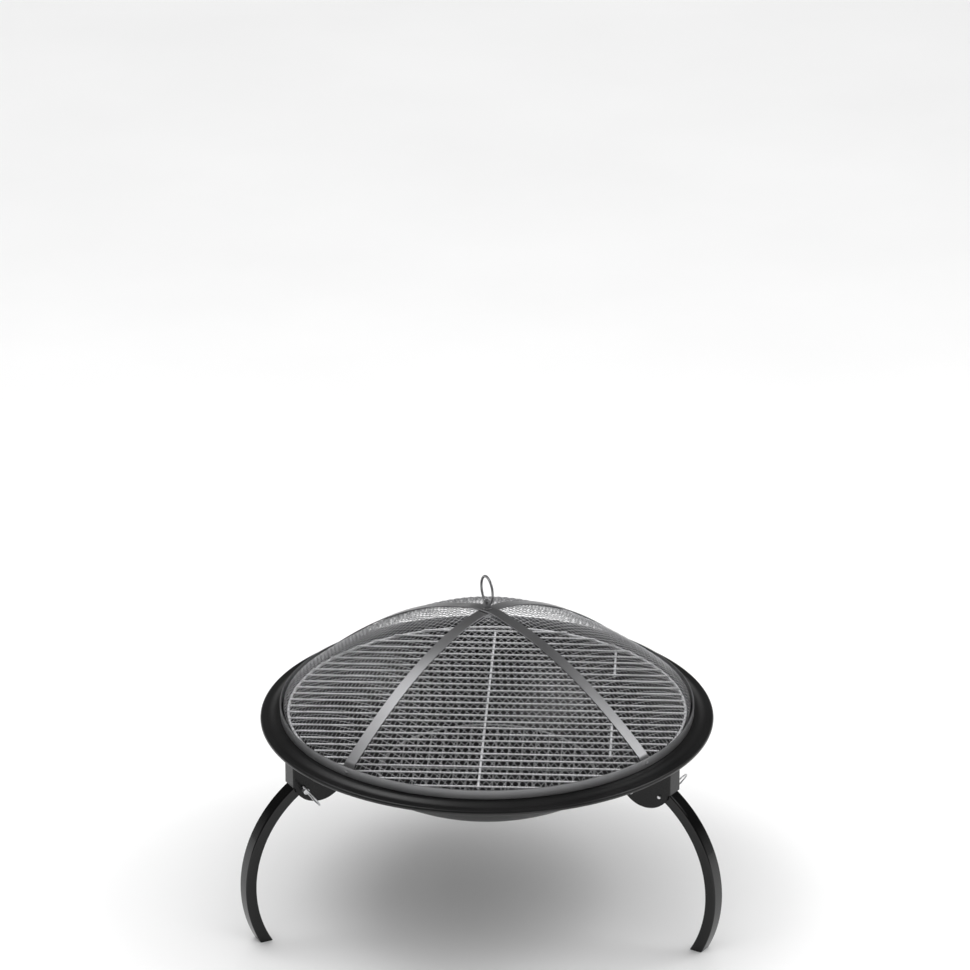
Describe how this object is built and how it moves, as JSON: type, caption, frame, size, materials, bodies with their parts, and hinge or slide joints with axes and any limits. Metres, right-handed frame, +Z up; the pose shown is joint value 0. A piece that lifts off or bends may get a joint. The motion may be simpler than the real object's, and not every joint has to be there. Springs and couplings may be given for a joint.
{
  "type": "fire pit with grate",
  "caption": "Round steel fire bowl on folding curved legs, with a charcoal grate, a lift-off cooking grill and a domed mesh spark lid.",
  "frame": {"origin": "centre of the bowl's flat floor, on its upper face", "axes": "+Z up along the bowl's axis; +Y towards the back leg; the other two legs stand left and right of -Y"},
  "size_m": [0.5888, 0.6144, 0.4236],
  "materials": {
    "bowl_enamel": "satin black heat-proof enamel",
    "bracket_black": "satin black",
    "black_bolt": "black oxide",
    "leg_gloss": "gloss black",
    "zinc": "bright zinc plate",
    "grate_steel": "plain steel wire",
    "chrome": "bright chrome plate",
    "lid_gunmetal": "satin gunmetal grey",
    "lid_mesh": "woven steel wire, dull grey"
  },
  "bodies": {
    "fire_pit": {"fire_bowl": "bowl_enamel", "bracket_back": "bracket_black", "bracket_bolt_back_1": "black_bolt", "bracket_nut_back_1": "zinc", "bracket_bolt_back_2": "black_bolt", "bracket_nut_back_2": "zinc", "spacer_rivet_back": "zinc", "bracket_left": "bracket_black", "bracket_bolt_left_1": "black_bolt", "bracket_nut_left_1": "zinc", "bracket_bolt_left_2": "black_bolt", "bracket_nut_left_2": "zinc", "spacer_rivet_left": "zinc", "bracket_right": "bracket_black", "bracket_bolt_right_1": "black_bolt", "bracket_nut_right_1": "zinc", "bracket_bolt_right_2": "black_bolt", "bracket_nut_right_2": "zinc", "spacer_rivet_right": "zinc"},
    "leg_back": {"leg_back": "leg_gloss"},
    "pin_back": {"leg_pin_back": "zinc", "pull_ring_back": "zinc"},
    "leg_left": {"leg_left": "leg_gloss"},
    "pin_left": {"leg_pin_left": "zinc", "pull_ring_left": "zinc"},
    "leg_right": {"leg_right": "leg_gloss"},
    "pin_right": {"leg_pin_right": "zinc", "pull_ring_right": "zinc"},
    "grate": {"grate_ring": "grate_steel", "grate_rod_01": "grate_steel", "grate_rod_02": "grate_steel", "grate_rod_03": "grate_steel", "grate_rod_04": "grate_steel", "grate_rod_05": "grate_steel", "grate_rod_06": "grate_steel", "grate_rod_07": "grate_steel", "grate_rod_08": "grate_steel", "grate_rod_09": "grate_steel", "grate_rod_10": "grate_steel", "grate_rod_11": "grate_steel", "grate_rod_12": "grate_steel", "grate_rod_13": "grate_steel", "grate_rod_14": "grate_steel", "grate_cross_rod": "grate_steel"},
    "grill": {"grill_ring": "chrome", "grill_rods": "chrome"},
    "lid": {"lid_band": "lid_gunmetal", "lid_mesh": "lid_mesh", "lid_strap_under": "lid_gunmetal", "lid_strap_over": "lid_gunmetal", "lid_rivet_1": "lid_gunmetal", "lid_rivet_2": "lid_gunmetal", "lid_rivet_3": "lid_gunmetal", "lid_rivet_4": "lid_gunmetal", "lid_eye_bolt": "lid_gunmetal", "lid_eye_nut": "zinc"},
    "lid_handle": {"lid_handle_ring": "lid_gunmetal"}
  },
  "joints": [
    {"name": "leg_back_fold", "type": "hinge", "parent": "fire_pit", "child": "leg_back", "pos_m": [0, 0.256, 0.05553], "axis": [1, 0, 0], "range_deg": [-86, 0]},
    {"name": "leg_left_fold", "type": "hinge", "parent": "fire_pit", "child": "leg_left", "pos_m": [-0.2217, -0.128, 0.05553], "axis": [-0.5, 0.866, 0], "range_deg": [-86, 0]},
    {"name": "leg_right_fold", "type": "hinge", "parent": "fire_pit", "child": "leg_right", "pos_m": [0.2217, -0.128, 0.05553], "axis": [-0.5, -0.866, 0], "range_deg": [-86, 0]},
    {"name": "pin_back_pull", "type": "slide", "parent": "fire_pit", "child": "pin_back", "axis": [1, 0, 0], "range_m": [-0.03, 0]},
    {"name": "pin_left_pull", "type": "slide", "parent": "fire_pit", "child": "pin_left", "axis": [-0.5, 0.866, 0], "range_m": [-0.03, 0]},
    {"name": "pin_right_pull", "type": "slide", "parent": "fire_pit", "child": "pin_right", "axis": [-0.5, -0.866, 0], "range_m": [-0.03, 0]},
    {"name": "grate_lift", "type": "slide", "parent": "fire_pit", "child": "grate", "axis": [0, 0, 1], "range_m": [0, 0.319]},
    {"name": "grill_lift", "type": "slide", "parent": "grate", "child": "grill", "axis": [0, 0, 1], "range_m": [0, 0.137]},
    {"name": "lid_lift", "type": "slide", "parent": "grill", "child": "lid", "axis": [0, 0, 1], "range_m": [0, 0.283]},
    {"name": "lid_handle_tip", "type": "hinge", "parent": "lid", "child": "lid_handle", "pos_m": [0, 0, 0.24622], "axis": [-0.4384, 0.8988, 0], "range_deg": [-80, 80]}
  ]
}
